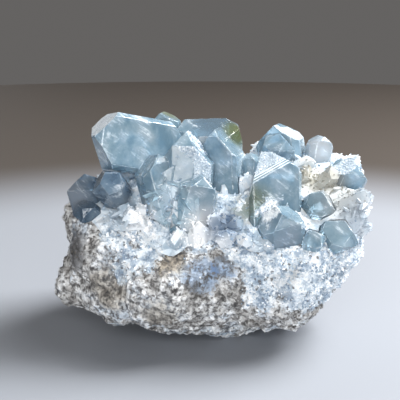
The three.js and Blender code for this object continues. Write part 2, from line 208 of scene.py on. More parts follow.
def mm(point):
    """A point in millimetres as a vector in metres."""
    return Vector(point) * MM


def blend(low, high, value):
    """0 below low, 1 above high, and smooth between."""
    share = min(max((value - low) / (high - low), 0.0), 1.0)
    return share * share * (3 - 2 * share)


def welded(node):
    """Corners and triangles of the node's CAD mesh, with its loose triangles joined up."""
    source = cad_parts[node].data
    known, corners, numbers = {}, [], []
    for v in source.vertices:
        key = tuple(round(c / WELD) for c in v.co)
        if key not in known:
            known[key] = len(corners)
            corners.append(v.co.copy())
        numbers.append(known[key])
    triangles = [(*(numbers[i] for i in polygon.vertices), 0) for polygon in source.polygons]
    return corners, [t for t in triangles if len(set(t[:3])) == 3]


def split(triangle, middles, corners):
    """The triangles that a triangle becomes when some of its edges get a middle corner."""
    a, b, c, mark = triangle
    found = [middles.get((p, q) if p < q else (q, p)) for p, q in ((a, b), (b, c), (c, a))]
    if found == [None, None, None]:
        return [triangle]
    while found[0] is None or (found[1] is None and found[2] is not None):
        a, b, c, found = b, c, a, found[1:] + found[:1]
    ab, bc, ca = found
    if bc is None:
        return [(a, ab, c, mark), (ab, b, c, mark)]
    if ca is not None:
        return [(a, ab, ca, mark), (ab, b, bc, mark), (ca, bc, c, mark), (ab, bc, ca, mark)]
    if (corners[a] - corners[bc]).length < (corners[ab] - corners[c]).length:
        return [(ab, b, bc, mark), (a, ab, bc, mark), (a, bc, c, mark)]
    return [(ab, b, bc, mark), (a, ab, c, mark), (ab, bc, c, mark)]


def refined(corners, triangles, longest, covered):
    """Halves edges until none is longer than longest, save in triangles whose corners are all covered.
    New corners go on the end of corners. A triangle's fourth number is its mark, and its parts keep it."""
    done, waiting = [], triangles
    while True:
        middles, open_ones = {}, []
        for triangle in waiting:
            a, b, c, _ = triangle
            too_long = False
            if not (covered[a] and covered[b] and covered[c]):
                for p, q in ((a, b), (b, c), (c, a)):
                    if (corners[p] - corners[q]).length > longest:
                        too_long = True
                        edge = (p, q) if p < q else (q, p)
                        if edge not in middles:
                            middles[edge] = len(corners)
                            corners.append((corners[p] + corners[q]) / 2)
                if not too_long:
                    done.append(triangle)
                    continue
            open_ones.append(triangle)
        if not middles:
            return done + open_ones
        waiting = [part for triangle in open_ones for part in split(triangle, middles, corners)]


def corner_normals(corners, triangles):
    """The unit normal at each corner, weighted by the area around it."""
    normals = [Vector() for _ in corners]
    for a, b, c, _ in triangles:
        across = (corners[b] - corners[a]).cross(corners[c] - corners[a])
        for i in (a, b, c):
            normals[i] += across
    return [n.normalized() for n in normals]


def sharp_corners(corners, triangles):
    """For each corner, whether faces with a sharp edge between them meet at it."""
    first, sharp = {}, [False] * len(corners)
    most = math.cos(SHARP_ANGLE)
    for a, b, c, _ in triangles:
        normal = (corners[b] - corners[a]).cross(corners[c] - corners[a]).normalized()
        for i in (a, b, c):
            if first.setdefault(i, normal).dot(normal) < most:
                sharp[i] = True
    return sharp


def piece_of(name, corners, triangles, *materials, **shares):
    """A piece with this surface, with an attribute for each list of shares at its corners. A triangle's
    mark is the number of its material."""
    mesh = bpy.data.meshes.new(name)
    mesh.from_pydata(corners, [], [triangle[:3] for triangle in triangles])
    for material in materials:
        mesh.materials.append(material)
    mesh.polygons.foreach_set("material_index", [triangle[3] for triangle in triangles])
    for attribute, values in shares.items():
        mesh.attributes.new(attribute, "FLOAT", "POINT").data.foreach_set("value", values)
    ob = bpy.data.objects.new(name, mesh)
    bpy.context.scene.collection.objects.link(ob)
    return ob


def finished(ob, slot, *nodes):
    """The piece rides on the one body and stands for the nodes. The slot is not used."""
    if nodes:
        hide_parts(*nodes)
    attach(ob, "root")
    return ob


def lumps(point, width):
    """Broken lumps with sharp creases between them, from -1 in a crease to 1 on a lump, bold in some
    places and faint in others."""
    place = point / width
    near = noise.voronoi(place + LUMP_SKEW * noise.noise_vector(place))[0]
    boldness = 1.0 + BOLD_SWING * noise.noise(place / BOLD_WIDTH)
    return boldness * (1.0 - LUMP_FALL * near[0])


def waves(point, width, layers):
    """Smooth noise from about -1 to 1. Each layer after the first is half as wide and half as high."""
    return noise.fractal(point / width, 1.0, 2.0, layers)


# ---- Materials ----------------------------------------------------------------------------------


def linear(colour):
    """An sRGB hex colour as linear RGBA."""
    channels = [int(colour[i:i + 2], 16) / 255 for i in (1, 3, 5)]
    return (*[c / 12.92 if c <= 0.04045 else ((c + 0.055) / 1.055) ** 2.4 for c in channels], 1.0)


def add(tree, kind, inputs=None, stops=(), **settings):
    """Adds a node with its settings, its inputs' values or links, and a colour ramp's stops."""
    node = tree.nodes.new(kind)
    for name, value in settings.items():
        setattr(node, name, value)
    for name, value in (inputs or {}).items():
        if isinstance(value, bpy.types.NodeSocket):
            tree.links.new(value, node.inputs[name])
        else:
            node.inputs[name].default_value = value
    if stops:
        elements = node.color_ramp.elements
        elements.remove(elements[1])
        elements[0].position = stops[0][0]
        elements[0].color = linear(stops[0][1])
        for position, colour in stops[1:]:
            elements.new(position).color = linear(colour)
    return node


def per_metre(width):
    """A texture's scale for features of this width."""
    return 1.0 / width


def new_material(name):
    """An empty material, its node tree and its output node."""
    material = bpy.data.materials.new(name)
    material.use_nodes = True
    tree = material.node_tree
    tree.nodes.clear()
    return material, tree, add(tree, "ShaderNodeOutputMaterial")


# Sockets of a Mix node that lays one colour over another: the share of the upper one, the two colours,
# and what comes out.
SHARE, LOWER, UPPER, RESULT = 0, 6, 7, 2


def patched(tree, place, colour, patches, grain=None, **settings):
    """The colour with round patches of other colours laid on it. With a grain texture their outlines are
    ragged."""
    for middle, reach, stain in patches:
        away = add(tree, "ShaderNodeVectorMath", {0: place, 1: mm(middle)}, operation="DISTANCE")
        share = add(tree, "ShaderNodeMapRange", {"Value": away.outputs["Value"], "From Min": reach * MM,
                    "From Max": PATCH_WHOLE * reach * MM},
                    interpolation_type="SMOOTHSTEP").outputs["Result"]
        if grain:
            rough = add(tree, "ShaderNodeMath", {0: share, 1: grain}, operation="MULTIPLY")
            share = add(tree, "ShaderNodeMapRange", {"Value": rough.outputs[0], "From Min": 0.32,
                        "From Max": 0.48, "To Max": 0.9}).outputs["Result"]
        colour = add(tree, "ShaderNodeMix", {SHARE: share, LOWER: colour, UPPER: linear(stain)},
                     data_type="RGBA", **settings).outputs[RESULT]
    return colour


def celestite(name, deep, pale, cloud, clear, wear_and_highlight):
    """Celestite, grown: clear to milky pale blue, glassy, with cloudy veils, white cleavage cracks, edges
    white where chipped and with a painted highlight, growth steps, and grains of celestite sugar where it
    is frosted. To the eye it is a see-through blue that deepens with thickness, under a grey-white bloom on
    the frosted faces. clear is how much light passes where it has no flaws, and the last argument how white
    its edges are at most, from chipping and painted highlight."""
    material, tree, out = new_material(name)
    place = add(tree, "ShaderNodeTexCoord").outputs["Object"]
    veils = add(tree, "ShaderNodeTexNoise", {"Vector": place, "Scale": per_metre(7 * MM), "Detail": 4.0,
                "Roughness": 0.6, "Distortion": 0.4})
    shade = add(tree, "ShaderNodeValToRGB", {"Fac": veils.outputs["Fac"]},
                stops=[(0.36, deep), (0.5, pale), (0.66, cloud)])
    colour = patched(tree, place, shade.outputs["Color"], CRYSTAL_TINTS_AND_SHADE)
    along = add(tree, "ShaderNodeMapping", {"Vector": place, "Rotation": CLEAVAGE_TILT,
                "Scale": CRACK_SIZE}, vector_type="TEXTURE")
    cracks = add(tree, "ShaderNodeTexNoise", {"Vector": along.outputs[0], "Scale": 1.0, "Detail": 5.0,
                 "Roughness": 0.75})
    flawed = add(tree, "ShaderNodeMath", {0: cracks.outputs["Fac"], 1: veils.outputs["Fac"]},
                 operation="MULTIPLY")
    cracked = add(tree, "ShaderNodeMapRange", {"Value": flawed.outputs[0], "From Min": 0.30,
                  "From Max": 0.42, "To Max": 0.55})
    # White along the sharp edges, in patches: partly chipping, partly a painted highlight.
    edge = add(tree, "ShaderNodeAttribute", attribute_name="edge")
    patchy = add(tree, "ShaderNodeTexNoise", {"Vector": place, "Scale": per_metre(1.6 * MM), "Detail": 3.0})
    patchy_edge = add(tree, "ShaderNodeMath", {0: edge.outputs["Fac"], 1: patchy.outputs["Fac"]},
                 operation="MULTIPLY")
    worn_and_highlit = add(tree, "ShaderNodeMapRange", {"Value": patchy_edge.outputs[0], "From Min": 0.36, "From Max": 0.6,
               "To Max": wear_and_highlight})
    up_face = add(tree, "ShaderNodeVectorMath", {0: place, 1: STEPS_UP}, operation="DOT_PRODUCT")
    risen = add(tree, "ShaderNodeMath", {0: up_face.outputs["Value"], 1: STEPS_FROM}, operation="SUBTRACT")
    zigzag = add(tree, "ShaderNodeMath", {0: risen.outputs[0], 1: STEP_WIDTH / 2}, operation="PINGPONG")
    lines = add(tree, "ShaderNodeMapRange", {"Value": zigzag.outputs[0], "From Min": 0.3 * STEP_WIDTH,
                "From Max": 0.15 * STEP_WIDTH, "To Max": 0.8})
    band = add(tree, "ShaderNodeMath", {0: risen.outputs[0], 1: STEPS_HIGH / 2, 2: STEPS_HIGH / 2},
               operation="COMPARE")
    sideways = add(tree, "ShaderNodeVectorMath", {0: place, 1: STEPS_MIDDLE}, operation="DISTANCE")
    beside = add(tree, "ShaderNodeMath", {0: sideways.outputs["Value"], 1: STEPS_REACH},
                 operation="LESS_THAN")
    within = add(tree, "ShaderNodeMath", {0: band.outputs[0], 1: beside.outputs[0]}, operation="MULTIPLY")
    stepped = add(tree, "ShaderNodeMath", {0: lines.outputs["Result"], 1: within.outputs[0]},
                  operation="MULTIPLY")
    marked = add(tree, "ShaderNodeMath", {0: cracked.outputs["Result"], 1: stepped.outputs[0]},
                 operation="MAXIMUM")
    white = add(tree, "ShaderNodeMath", {0: marked.outputs[0], 1: worn_and_highlit.outputs["Result"]},
                operation="MAXIMUM")
    colour = add(tree, "ShaderNodeMix", {SHARE: white.outputs[0], LOWER: colour, UPPER: linear("#f1f6fa")},
                 data_type="RGBA").outputs[RESULT]
    frost = add(tree, "ShaderNodeAttribute", attribute_name="frost")
    ragged = add(tree, "ShaderNodeMath", {0: patchy.outputs["Fac"], 1: 0.9, 2: frost.outputs["Fac"]},
                 operation="MULTIPLY_ADD")
    sugared = add(tree, "ShaderNodeMapRange", {"Value": ragged.outputs[0], "From Min": 0.85,
                  "From Max": 1.1}).outputs["Result"]
    grains = add(tree, "ShaderNodeTexVoronoi", {"Vector": place, "Scale": per_metre(0.6 * MM)})
    bloom = add(tree, "ShaderNodeValToRGB", {"Fac": grains.outputs["Color"]},
                stops=[(0.0, "#73869a"), (0.35, "#97a7b5"), (0.7, "#b2bec7"), (1.0, "#e4e9ed")])
    thick = add(tree, "ShaderNodeMapRange", {"Value": frost.outputs["Fac"], "From Min": 1.0,
                "From Max": 1.5}).outputs["Result"]
    crusted = add(tree, "ShaderNodeMix", {SHARE: thick, LOWER: bloom.outputs["Color"],
                  UPPER: linear("#f6f9fb")}, data_type="RGBA")
    colour = add(tree, "ShaderNodeMix", {SHARE: sugared, LOWER: colour, UPPER: crusted.outputs[RESULT]},
                 data_type="RGBA").outputs[RESULT]
    shattered = add(tree, "ShaderNodeAttribute", attribute_name="shatter")
    flaws = add(tree, "ShaderNodeMath", {0: shattered.outputs["Fac"], 1: 0.5, 2: white.outputs[0]},
                operation="MULTIPLY_ADD", use_clamp=True)
    milky = add(tree, "ShaderNodeMath", {0: flaws.outputs[0], 1: sugared}, operation="MAXIMUM")
    through = add(tree, "ShaderNodeMapRange", {"Value": milky.outputs[0], "To Min": clear, "To Max": 0.0})
    dull = add(tree, "ShaderNodeMapRange", {"Value": sugared, "To Min": 0.13, "To Max": 0.45})
    etching = add(tree, "ShaderNodeTexNoise", {"Vector": place, "Scale": per_metre(3.0 * MM), "Detail": 5.0,
                  "Roughness": 0.6})
    bump = add(tree, "ShaderNodeBump", {"Height": etching.outputs["Fac"], "Strength": 0.6,
               "Distance": 0.25 * MM})
    grainy = add(tree, "ShaderNodeBump", {"Height": grains.outputs["Distance"], "Strength": sugared,
                 "Distance": 0.25 * MM, "Normal": bump.outputs["Normal"]})
    surface = add(tree, "ShaderNodeBsdfPrincipled", {
        "Base Color": colour,
        "Roughness": dull.outputs["Result"],
        "IOR": 1.62,
        "Transmission Weight": through.outputs["Result"],
        "Normal": grainy.outputs["Normal"],
    })
    depth = add(tree, "ShaderNodeVolumeAbsorption", {"Color": linear("#bcd3e4"), "Density": 60.0})
    tree.links.new(surface.outputs[0], out.inputs["Surface"])
    tree.links.new(depth.outputs[0], out.inputs["Volume"])
    return material


def sugary_crust():
    """Sugary celestite, grown as a crust: snow white to pale blue grains about 1 mm wide."""
    material, tree, out = new_material("sugary_celestite_crust")
    place = add(tree, "ShaderNodeTexCoord").outputs["Object"]
    patches = add(tree, "ShaderNodeTexNoise", {"Vector": place, "Scale": per_metre(7 * MM), "Detail": 4.0,
                  "Roughness": 0.65})
    broad = add(tree, "ShaderNodeValToRGB", {"Fac": patches.outputs["Fac"]},
                stops=[(0.32, "#7d94aa"), (0.43, "#b3c3d1"), (0.53, "#dfe7ee"), (0.68, "#f8fafb")])
    grains = add(tree, "ShaderNodeTexVoronoi", {"Vector": place, "Scale": per_metre(0.8 * MM)})
    fine = add(tree, "ShaderNodeValToRGB", {"Fac": grains.outputs["Color"]},
               stops=[(0.0, "#aebdcb"), (0.3, "#e9eef2"), (1.0, "#ffffff")])
    colour = add(tree, "ShaderNodeMix", {SHARE: 0.5, LOWER: broad.outputs["Color"],
                 UPPER: fine.outputs["Color"]}, data_type="RGBA", blend_type="MULTIPLY").outputs[RESULT]
    colour = patched(tree, place, colour, CRUST_PATCHES, patches.outputs["Fac"])
    colour = patched(tree, place, colour, CRUST_SHADES, blend_type="MULTIPLY")
    # Painted shade: the crust turns blue-grey in the hollows of its relief.
    hollow = add(tree, "ShaderNodeAttribute", attribute_name="hollow")
    depth = add(tree, "ShaderNodeMath", {0: hollow.outputs["Fac"], 1: 0.6}, operation="MULTIPLY")
    colour = add(tree, "ShaderNodeMix", {SHARE: depth.outputs[0], LOWER: colour, UPPER: linear("#6f7e8c")},
                 data_type="RGBA").outputs[RESULT]
    bump = add(tree, "ShaderNodeBump", {"Height": grains.outputs["Distance"], "Strength": 0.7,
               "Distance": 0.3 * MM})
    surface = add(tree, "ShaderNodeBsdfPrincipled", {
        "Base Color": colour,
        "Roughness": 0.4,
        "Subsurface Weight": 0.2,
        "Subsurface Radius": (1.0, 1.0, 1.0),
        "Subsurface Scale": 1.0 * MM,
        "Normal": bump.outputs["Normal"],
    })
    tree.links.new(surface.outputs[0], out.inputs["Surface"])
    return material


def grain_finish():
    """Celestite sugar: small loose-standing grains, white and glassy."""
    material, tree, out = new_material("celestite_sugar_grains")
    place = add(tree, "ShaderNodeTexCoord").outputs["Object"]
    patches = add(tree, "ShaderNodeTexNoise", {"Vector": place, "Scale": per_metre(3.5 * MM),
                  "Detail": 3.0})
    shade = add(tree, "ShaderNodeValToRGB", {"Fac": patches.outputs["Fac"]},
                stops=[(0.36, "#8599ad"), (0.47, "#b9c7d3"), (0.56, "#e6ecf1"), (0.66, "#f8fafb")])
    colour = patched(tree, place, shade.outputs["Color"], CRUST_PATCHES, patches.outputs["Fac"])
    colour = patched(tree, place, colour, CRUST_SHADES, blend_type="MULTIPLY")
    surface = add(tree, "ShaderNodeBsdfPrincipled", {
        "Base Color": colour,
        "Roughness": 0.25,
    })
    tree.links.new(surface.outputs[0], out.inputs["Surface"])
    return material


def wall_marl():
    """Marly wall rock of the geode, broken: interlocked grains of white calcite and grey marl about 1 mm
    wide, sugared with celestite near the rim, with clay stains and a blue patch of massive celestite."""
    material, tree, out = new_material("marl_wall_rock")
    place = add(tree, "ShaderNodeTexCoord").outputs["Object"]
    wobble = add(tree, "ShaderNodeTexNoise", {"Vector": place, "Scale": per_metre(1.4 * MM), "Detail": 4.0})
    pushed = add(tree, "ShaderNodeVectorMath", {0: wobble.outputs["Color"], 1: (ROCK_WARP,) * 3,
                 2: place}, operation="MULTIPLY_ADD").outputs[0]
    mass = add(tree, "ShaderNodeTexNoise", {"Vector": pushed, "Scale": per_metre(2.3 * MM), "Detail": 6.0,
               "Roughness": 0.65})
    grains = add(tree, "ShaderNodeTexVoronoi", {"Vector": pushed, "Scale": per_metre(0.9 * MM)})
    which = add(tree, "ShaderNodeSeparateColor", {"Color": grains.outputs["Color"]})
    apart = add(tree, "ShaderNodeMapRange", {"Value": which.outputs[2], "To Min": -0.07, "To Max": 0.07})
    fine = add(tree, "ShaderNodeMath", {0: mass.outputs["Fac"], 1: apart.outputs["Result"]},
               operation="ADD").outputs[0]
    mottle = add(tree, "ShaderNodeValToRGB", {"Fac": fine},
                 stops=[(0.35, "#555557"), (0.43, "#949392"), (0.5, "#cbcccd"), (0.58, "#fafbfc")])
    broad = add(tree, "ShaderNodeTexNoise", {"Vector": place, "Scale": per_metre(10 * MM), "Detail": 5.0,
                "Roughness": 0.65})
    tone = add(tree, "ShaderNodeValToRGB", {"Fac": broad.outputs["Fac"]},
               stops=[(0.36, "#928f8c"), (0.46, "#c9c8c6"), (0.54, "#f6f7f8"), (0.62, "#cbd5e0")])
    colour = add(tree, "ShaderNodeMix", {SHARE: 0.9, LOWER: mottle.outputs["Color"],
                 UPPER: tone.outputs["Color"]}, data_type="RGBA", blend_type="MULTIPLY").outputs[RESULT]
    colour = patched(tree, pushed, colour, ROCK_PATCHES, fine, blend_type="MULTIPLY")
    sugar = add(tree, "ShaderNodeValToRGB", {"Fac": grains.outputs["Color"]},
                stops=[(0.0, "#9fb1c3"), (0.25, "#d9e2ea"), (0.6, "#f6f8fa"), (1.0, "#ffffff")])
    blocks = add(tree, "ShaderNodeTexNoise", {"Vector": pushed, "Scale": per_metre(4.5 * MM), "Detail": 4.0,
                 "Roughness": 0.6})
    bluish = add(tree, "ShaderNodeValToRGB", {"Fac": blocks.outputs["Fac"]},
                 stops=[(0.36, "#7f95ac"), (0.46, "#b9c8d6"), (0.52, "#f1f5f8"), (0.6, "#ffffff")])
    sugar = add(tree, "ShaderNodeMix", {SHARE: 0.9, LOWER: sugar.outputs["Color"],
                UPPER: bluish.outputs["Color"]}, data_type="RGBA", blend_type="MULTIPLY")
    snow = add(tree, "ShaderNodeAttribute", attribute_name="snow")
    drift = add(tree, "ShaderNodeMath", {0: snow.outputs["Fac"], 1: fine}, operation="ADD")
    snowy = add(tree, "ShaderNodeMapRange", {"Value": drift.outputs[0], "From Min": 0.72, "From Max": 0.98,
                "To Max": 0.9})
    colour = add(tree, "ShaderNodeMix", {SHARE: snowy.outputs["Result"], LOWER: colour,
                 UPPER: sugar.outputs[RESULT]}, data_type="RGBA").outputs[RESULT]
    rare = add(tree, "ShaderNodeMapRange", {"Value": which.outputs[1], "From Min": 0.07, "From Max": 0.04,
               "To Max": 0.8})
    colour = add(tree, "ShaderNodeMix", {SHARE: rare.outputs["Result"], LOWER: colour,
                 UPPER: linear("#625e59")}, data_type="RGBA").outputs[RESULT]
    # Painted shade: the rock turns darker grey in the hollows of its relief.
    hollow = add(tree, "ShaderNodeAttribute", attribute_name="hollow")
    painted_crease_shade = add(tree, "ShaderNodeMath", {0: hollow.outputs["Fac"], 1: 0.5}, operation="MULTIPLY")
    colour = add(tree, "ShaderNodeMix", {SHARE: painted_crease_shade.outputs[0], LOWER: colour, UPPER: linear("#706d69")},
                 data_type="RGBA").outputs[RESULT]
    bump = add(tree, "ShaderNodeBump", {"Height": fine, "Strength": 0.9, "Distance": 0.9 * MM})
    surface = add(tree, "ShaderNodeBsdfPrincipled", {
        "Base Color": colour,
        "Roughness": 0.75,
        "Normal": bump.outputs["Normal"],
    })
    tree.links.new(surface.outputs[0], out.inputs["Surface"])
    return material


CLEAR = celestite("clear_celestite", "#84a6ba", "#a4c0cf", "#c4d8e4", 0.6, 0.7)
DARK = celestite("grey_blue_celestite", "#536b82", "#6b8398", "#869bad", 0.5, 0.3)
SMALL = celestite("small_celestite", "#b3c8d8", "#dfe9f1", "#fbfcfd", 0.2, 0.5)
SUGAR = sugary_crust()
GRAINS = grain_finish()
MARL = wall_marl()


# ---- The wall rock ------------------------------------------------------------------------------


def surfaces_of(*nodes):
    """The CAD surfaces of these nodes, to look up distances to."""
    corners, faces = [], []
    for node in nodes:
        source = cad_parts[node].data
        start = len(corners)
        corners.extend(v.co.copy() for v in source.vertices)
        faces.extend([start + i for i in polygon.vertices] for polygon in source.polygons)
    return BVHTree.FromPolygons(corners, faces)


def relief(point, layers):
    """How far the surface stands out at a point."""
    return sum(height * lumps(point, width) for width, height in layers)


def rounded(corners, triangles, fixed, times):
    """Moves each corner that isn't fixed half way to the middle of its neighbours, that many times."""
    around = [set() for _ in corners]
    for a, b, c, _ in triangles:
        around[a] |= {b, c}
        around[b] |= {a, c}
        around[c] |= {a, b}
    for _ in range(times):
        corners = [co if fixed[i] else (co + sum((corners[j] for j in near), Vector()) / len(near)) / 2
                   for i, (co, near) in enumerate(zip(corners, around))]
    return corners


class Contact:
    """Tells which corners of a piece lie against other pieces, if any. It looks each corner up once."""

    def __init__(self, corners, others=None):
        self.corners, self.others, self.known = corners, others, {}

    def __getitem__(self, i):
        if i not in self.known:
            near = self.others and self.others.find_nearest(self.corners[i], TOUCH)[0]
            self.known[i] = near is not None
        return self.known[i]


def snow_share(point):
    """How white with sugar the rock is at a point, from 0 to 1."""
    x, y, z = point / MM
    for (left, low), (right, high) in zip(SNOW_LINE, SNOW_LINE[1:]):
        if left <= x <= right:
            line = low + (high - low) * (x - left) / (right - left)
    line = max(line, BARE_BACK * blend(BACK_BEGINS, BACK_WHOLE, y))
    wavering = SNOW_WAVERS * waves(point, SNOW_WIDTH, 4)
    above = blend(line - SNOW_FADE / 2, line + SNOW_FADE / 2, z + wavering)
    below = blend(-SNOW_BELOW, 0.0, -z - wavering)
    return max(above, SNOW_BELOW_SHARE * below)


def crease_shade_share(rise):
    """How dark the painted shade is in a hollow where the surface stands out by rise."""
    return min(max(-rise / CREASE_SHADE_DEPTH, 0.0), 1.0)


corners, triangles = welded("wall_rock")
others = surfaces_of("crystal_crust", *CRYSTAL_NODES)
contact = Contact(corners, others)
triangles = refined(corners, triangles, ROCK_FIRST_EDGE, contact)
corners = rounded(corners, triangles, contact, ROCK_ROUNDINGS)
contact = Contact(corners, others)
triangles = refined(corners, triangles, ROCK_EDGE, contact)
normals = corner_normals(corners, triangles)
hollow = [0.0] * len(corners)
snow = [0.0] * len(corners)
for i, co in enumerate(corners):
    snow[i] = snow_share(co)
    if not contact[i] and co.z > ROCK_FOOT:
        rise = relief(co, ROCK_RELIEF)
        # how dark the painted shade in this hollow is
        hollow[i] = crease_shade_share(rise)
        corners[i] = co + normals[i] * rise
        corners[i].z = max(corners[i].z, 0.0)
growth = [0.0 if contact[i] or co.z < SUGAR_FROM else snow[i] for i, co in enumerate(corners)]
rock_piece = piece_of("broken_wall_rock", corners, triangles, MARL, hollow=hollow, snow=snow,
                      growth=growth)
finished(rock_piece, "wall_rock", "wall_rock")


# ---- The crust ----------------------------------------------------------------------------------


def flat_facets(corners, triangles):
    """The triangles, with the mark 1 on those in a flat facet: a small crystal's face."""
    by_edge = {}
    for t, (a, b, c, _) in enumerate(triangles):
        for p, q in ((a, b), (b, c), (c, a)):
            by_edge.setdefault((min(p, q), max(p, q)), []).append(t)
    across = [(corners[b] - corners[a]).cross(corners[c] - corners[a]) for a, b, c, _ in triangles]
    marks, seen = [0] * len(triangles), set()
    for start in range(len(triangles)):
        if start in seen or across[start].length < NO_AREA:
            continue
        facet, queue = {start}, [start]
        while queue:
            a, b, c, _ = triangles[queue.pop()]
            for p, q in ((a, b), (b, c), (c, a)):
                for other in by_edge[(min(p, q), max(p, q))]:
                    if other not in facet and across[other].angle(across[start], math.inf) < FACET_BEND:
                        facet.add(other)
                        queue.append(other)
        seen |= facet
        if len(facet) > 1 and sum(across[t].length for t in facet) / 2 > FACET_AREA:
            for t in facet:
                marks[t] = 1
    return [(a, b, c, mark) for (a, b, c, _), mark in zip(triangles, marks)]


corners, triangles = welded("crystal_crust")
others = surfaces_of("wall_rock", *CRYSTAL_NODES)
triangles = flat_facets(corners, triangles)
contact = Contact(corners, others)
triangles = refined(corners, triangles, CRUST_EDGE, contact)
normals = corner_normals(corners, triangles)
sharp = sharp_corners(corners, triangles)
kinds = [set() for _ in corners]
for *ends, mark in triangles:
    for i in ends:
        kinds[i].add(mark)
edge = [float(sharp[i] and kinds[i] == {1}) for i in range(len(corners))]
growth = [0.0 if contact[i] else FACET_GRAINS if kinds[i] == {1} else 1.0 for i in range(len(corners))]
hollow = [0.0] * len(corners)
for i, co in enumerate(corners):
    if not contact[i] and kinds[i] != {1}:
        rise = relief(co, CRUST_RELIEF)
        # how dark the painted shade in this hollow is
        hollow[i] = crease_shade_share(rise)
        corners[i] = co + normals[i] * rise * (FACET_RIM_RELIEF if 1 in kinds[i] else 1.0)
crust_piece = piece_of("sugary_crust", corners, triangles, SUGAR, SMALL, growth=growth, edge=edge,
                       hollow=hollow)
finished(crust_piece, "crystal_crust", "crystal_crust")


# ---- The large crystals -------------------------------------------------------------------------


def frost_share(point, normal):
    """How frosted a face of a large crystal is at a point: 0 where it is clear or has growth steps, and 1
    under a thin bloom."""
    on_steps = 0.0 < point.dot(STEPS_UP) - STEPS_FROM < STEPS_HIGH
    if on_steps and (point - STEPS_MIDDLE).length < STEPS_REACH:
        return 0.0
    share = 0.0
    for patch in FROSTED:
        if normal.dot(Vector(patch["facing"]).normalized()) > SAME_FACE:
            wobble = patch["ragged"] * waves(point, FROST_WIDTH, 3)
            away = (point / MM - Vector(patch["at"])).length - patch["reach"] - wobble
            share = max(share, patch["share"] * (1.0 - blend(-FROST_FADE, FROST_FADE, away)))
    return share


pieces = {}
for node, slot in CRYSTAL_NODES.items():
    corners, triangles = welded(node)
    triangles = refined(corners, triangles, CRYSTAL_EDGE, Contact(corners))
    normals = corner_normals(corners, triangles)
    sharp = sharp_corners(corners, triangles)
    frost = [0.0] * len(corners)
    for a, b, c, _ in triangles:
        normal = (corners[b] - corners[a]).cross(corners[c] - corners[a]).normalized()
        if any(normal.dot(Vector(patch["facing"]).normalized()) > SAME_FACE for patch in FROSTED):
            for i in (a, b, c):
                frost[i] = max(frost[i], frost_share(corners[i], normal))
    middle, reach = mm(SHATTERED[0]), SHATTERED[1] * MM
    shatter = [1.0 - blend(SHATTERED_WHOLE * reach, reach, (co - middle).length) for co in corners]
    for i, co in enumerate(corners):
        if sharp[i]:
            chip = max(noise.noise(co / CHIP_LENGTH), 0.0)
            corners[i] = co - normals[i] * (EDGE_WEAR + EDGE_CHIPS * chip)
    piece = piece_of(node.replace("crystal", "clear_crystal"), corners, triangles,
                     DARK if slot == "dark_celestite" else CLEAR, frost=frost, shatter=shatter,
                     edge=[float(each) for each in sharp])
    pieces[node] = finished(piece, slot, node)


# ---- Small crystals -----------------------------------------------------------------------------


def hull_of(name, corners):
    """A small closed shape around these corners, to be repeated."""
    bm = bmesh.new()
    for corner in corners:
        bm.verts.new(corner)
    bmesh.ops.convex_hull(bm, input=bm.verts)
    bmesh.ops.recalc_face_normals(bm, faces=bm.faces)
    mesh = bpy.data.meshes.new(name)
    bm.to_mesh(mesh)
    bm.free()
    ob = bpy.data.objects.new(name, mesh)
    bpy.context.scene.collection.objects.link(ob)
    return ob


def prism(width, thickness, shoulder, ridge):
    """Corners of a celestite crystal 1 tall and rooted 0.4 deep: a six-sided prism with a wedge top."""
    ring = [(width, 0.0), (width / 2, thickness), (-width / 2, thickness),
            (-width, 0.0), (-width / 2, -thickness), (width / 2, -thickness)]
    sides = [(x, y, z) for z in (-0.4, shoulder) for x, y in ring]
    return sides + [(ridge, 0.0, 1.0), (-ridge, 0.0, 1.0)]


